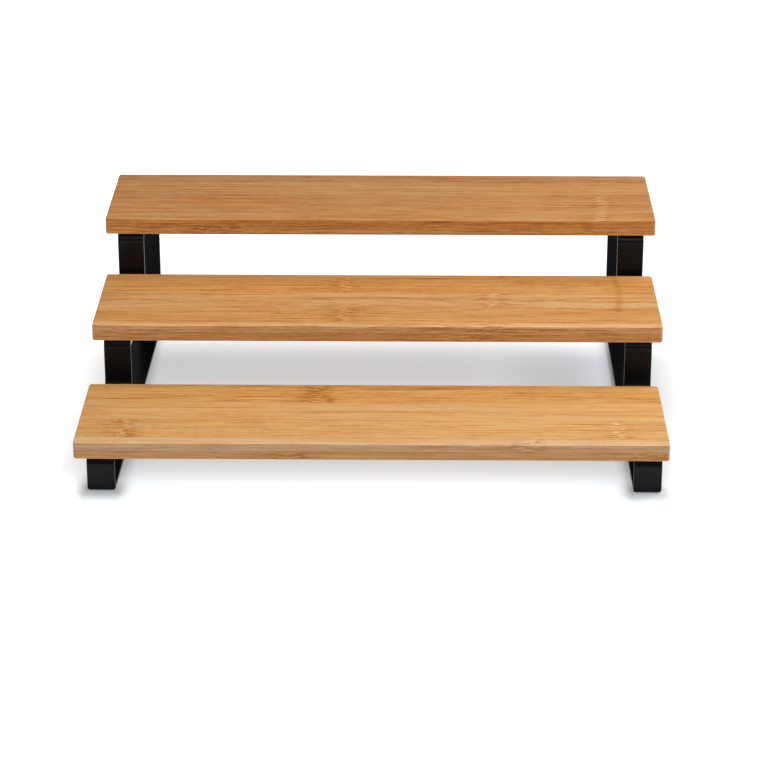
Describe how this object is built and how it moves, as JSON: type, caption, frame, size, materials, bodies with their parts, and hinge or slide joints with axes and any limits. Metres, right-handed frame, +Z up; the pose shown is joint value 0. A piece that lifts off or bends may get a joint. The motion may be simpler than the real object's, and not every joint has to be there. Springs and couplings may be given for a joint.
{
  "type": "tiered shelf riser",
  "caption": "Stepped shelf riser: long bamboo boards screwed onto bent black flat-steel side frames, for jars and spices on a counter or in a cupboard.",
  "frame": {"origin": "on the ground under the middle of the whole riser", "axes": "+X to the right along the boards, +Y to the back where the tallest tier is, +Z up; the lowest tier faces -Y"},
  "size_m": [0.339, 0.271, 0.1075],
  "materials": {
    "board_lower": "laminated bamboo, caramel, satin lacquer",
    "board_middle": "laminated bamboo, caramel, satin lacquer, a shade darker",
    "board_upper": "laminated bamboo, caramel, satin lacquer, darkest of the set",
    "frame_steel": "black powder coat, satin, fine texture",
    "screw": "black oxide, satin",
    "pad": "black, matt"
  },
  "bodies": {
    "root": {"lower_board": "board_lower", "middle_board": "board_middle", "upper_board": "board_upper", "left_step_strip": "frame_steel", "left_base_bar": "frame_steel", "left_front_pad": "pad", "left_rear_pad": "pad", "right_step_strip": "frame_steel", "right_base_bar": "frame_steel", "right_front_pad": "pad", "right_rear_pad": "pad", "lower_board_screw_left_front": "screw", "lower_board_screw_left_rear": "screw", "lower_board_screw_right_front": "screw", "lower_board_screw_right_rear": "screw", "middle_board_screw_left_front": "screw", "middle_board_screw_left_rear": "screw", "middle_board_screw_right_front": "screw", "middle_board_screw_right_rear": "screw", "upper_board_screw_left_front": "screw", "upper_board_screw_left_rear": "screw", "upper_board_screw_right_front": "screw", "upper_board_screw_right_rear": "screw"}
  },
  "joints": []
}
